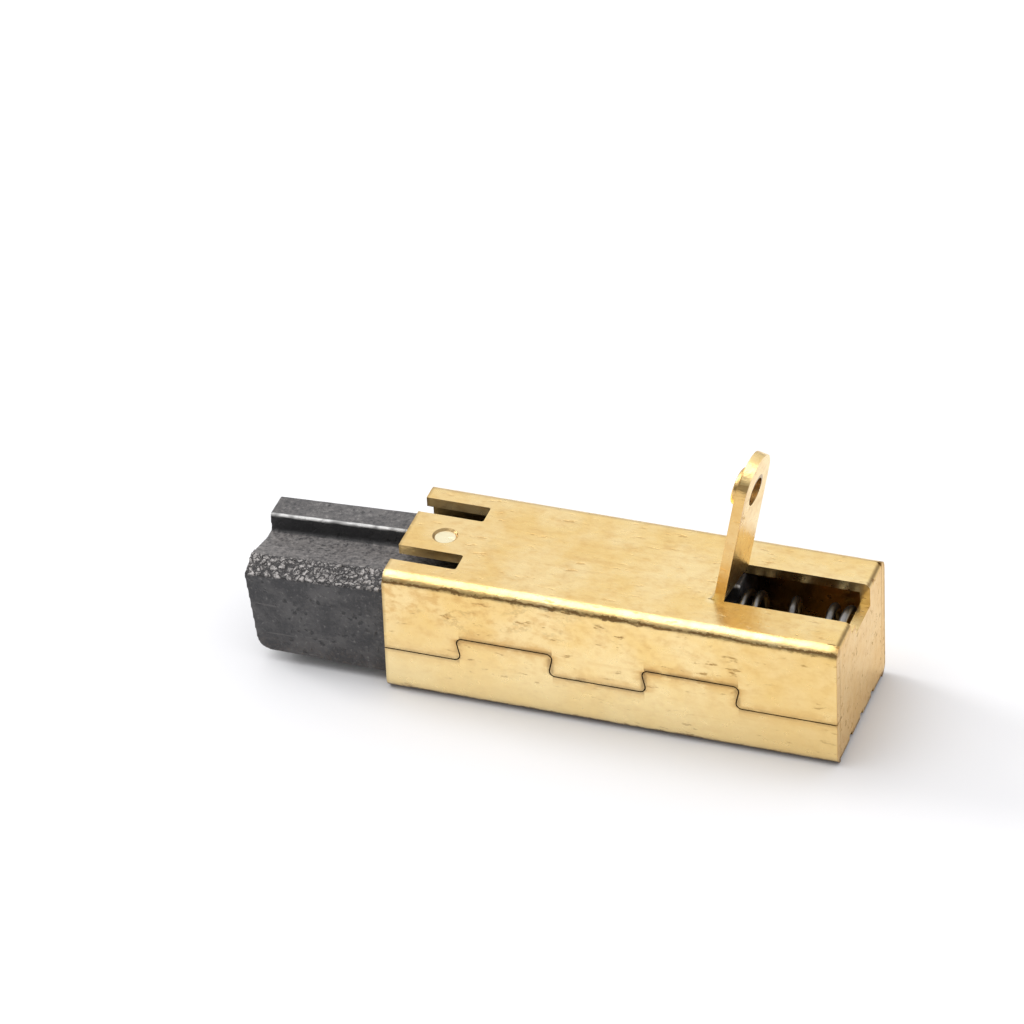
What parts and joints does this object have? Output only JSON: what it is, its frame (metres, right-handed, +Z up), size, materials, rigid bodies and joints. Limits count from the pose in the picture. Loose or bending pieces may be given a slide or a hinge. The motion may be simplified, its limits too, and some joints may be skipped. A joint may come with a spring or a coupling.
{
  "type": "carbon brush",
  "caption": "Rectangular carbon brush sliding on a spring in a folded sheet-brass case with an interlocked seam and an upright push-on terminal blade.",
  "frame": {"origin": "middle of the outer face of the case's bottom wall, on the surface that the brush lies on", "axes": "+X along the case from the mouth, where the carbon comes out, to the end wall; +Z up through the wall that carries the terminal blade; +Y towards the wall with the locking barb"},
  "size_m": [0.0464, 0.0128, 0.0223],
  "materials": {
    "brass_sheet": "drawn and lightly tarnished",
    "carbon": "matt, porous graphite",
    "spring_steel": "dark tempered wire",
    "copper": "bare stranded copper"
  },
  "bodies": {
    "case": {"brass_holder": "brass_sheet", "pressure_spring": "spring_steel", "shunt_lead": "copper", "lead_weld": "copper"},
    "brush": {"carbon_block": "carbon", "tamping_plug": "copper"}
  },
  "joints": [
    {"name": "carbon_slide", "type": "slide", "parent": "case", "child": "brush", "axis": [1, 0, 0], "range_m": [0, 0.005], "stiffness_N_per_m": 400, "springref_m": -0.001, "deforming": ["pressure_spring", "shunt_lead"]}
  ]
}
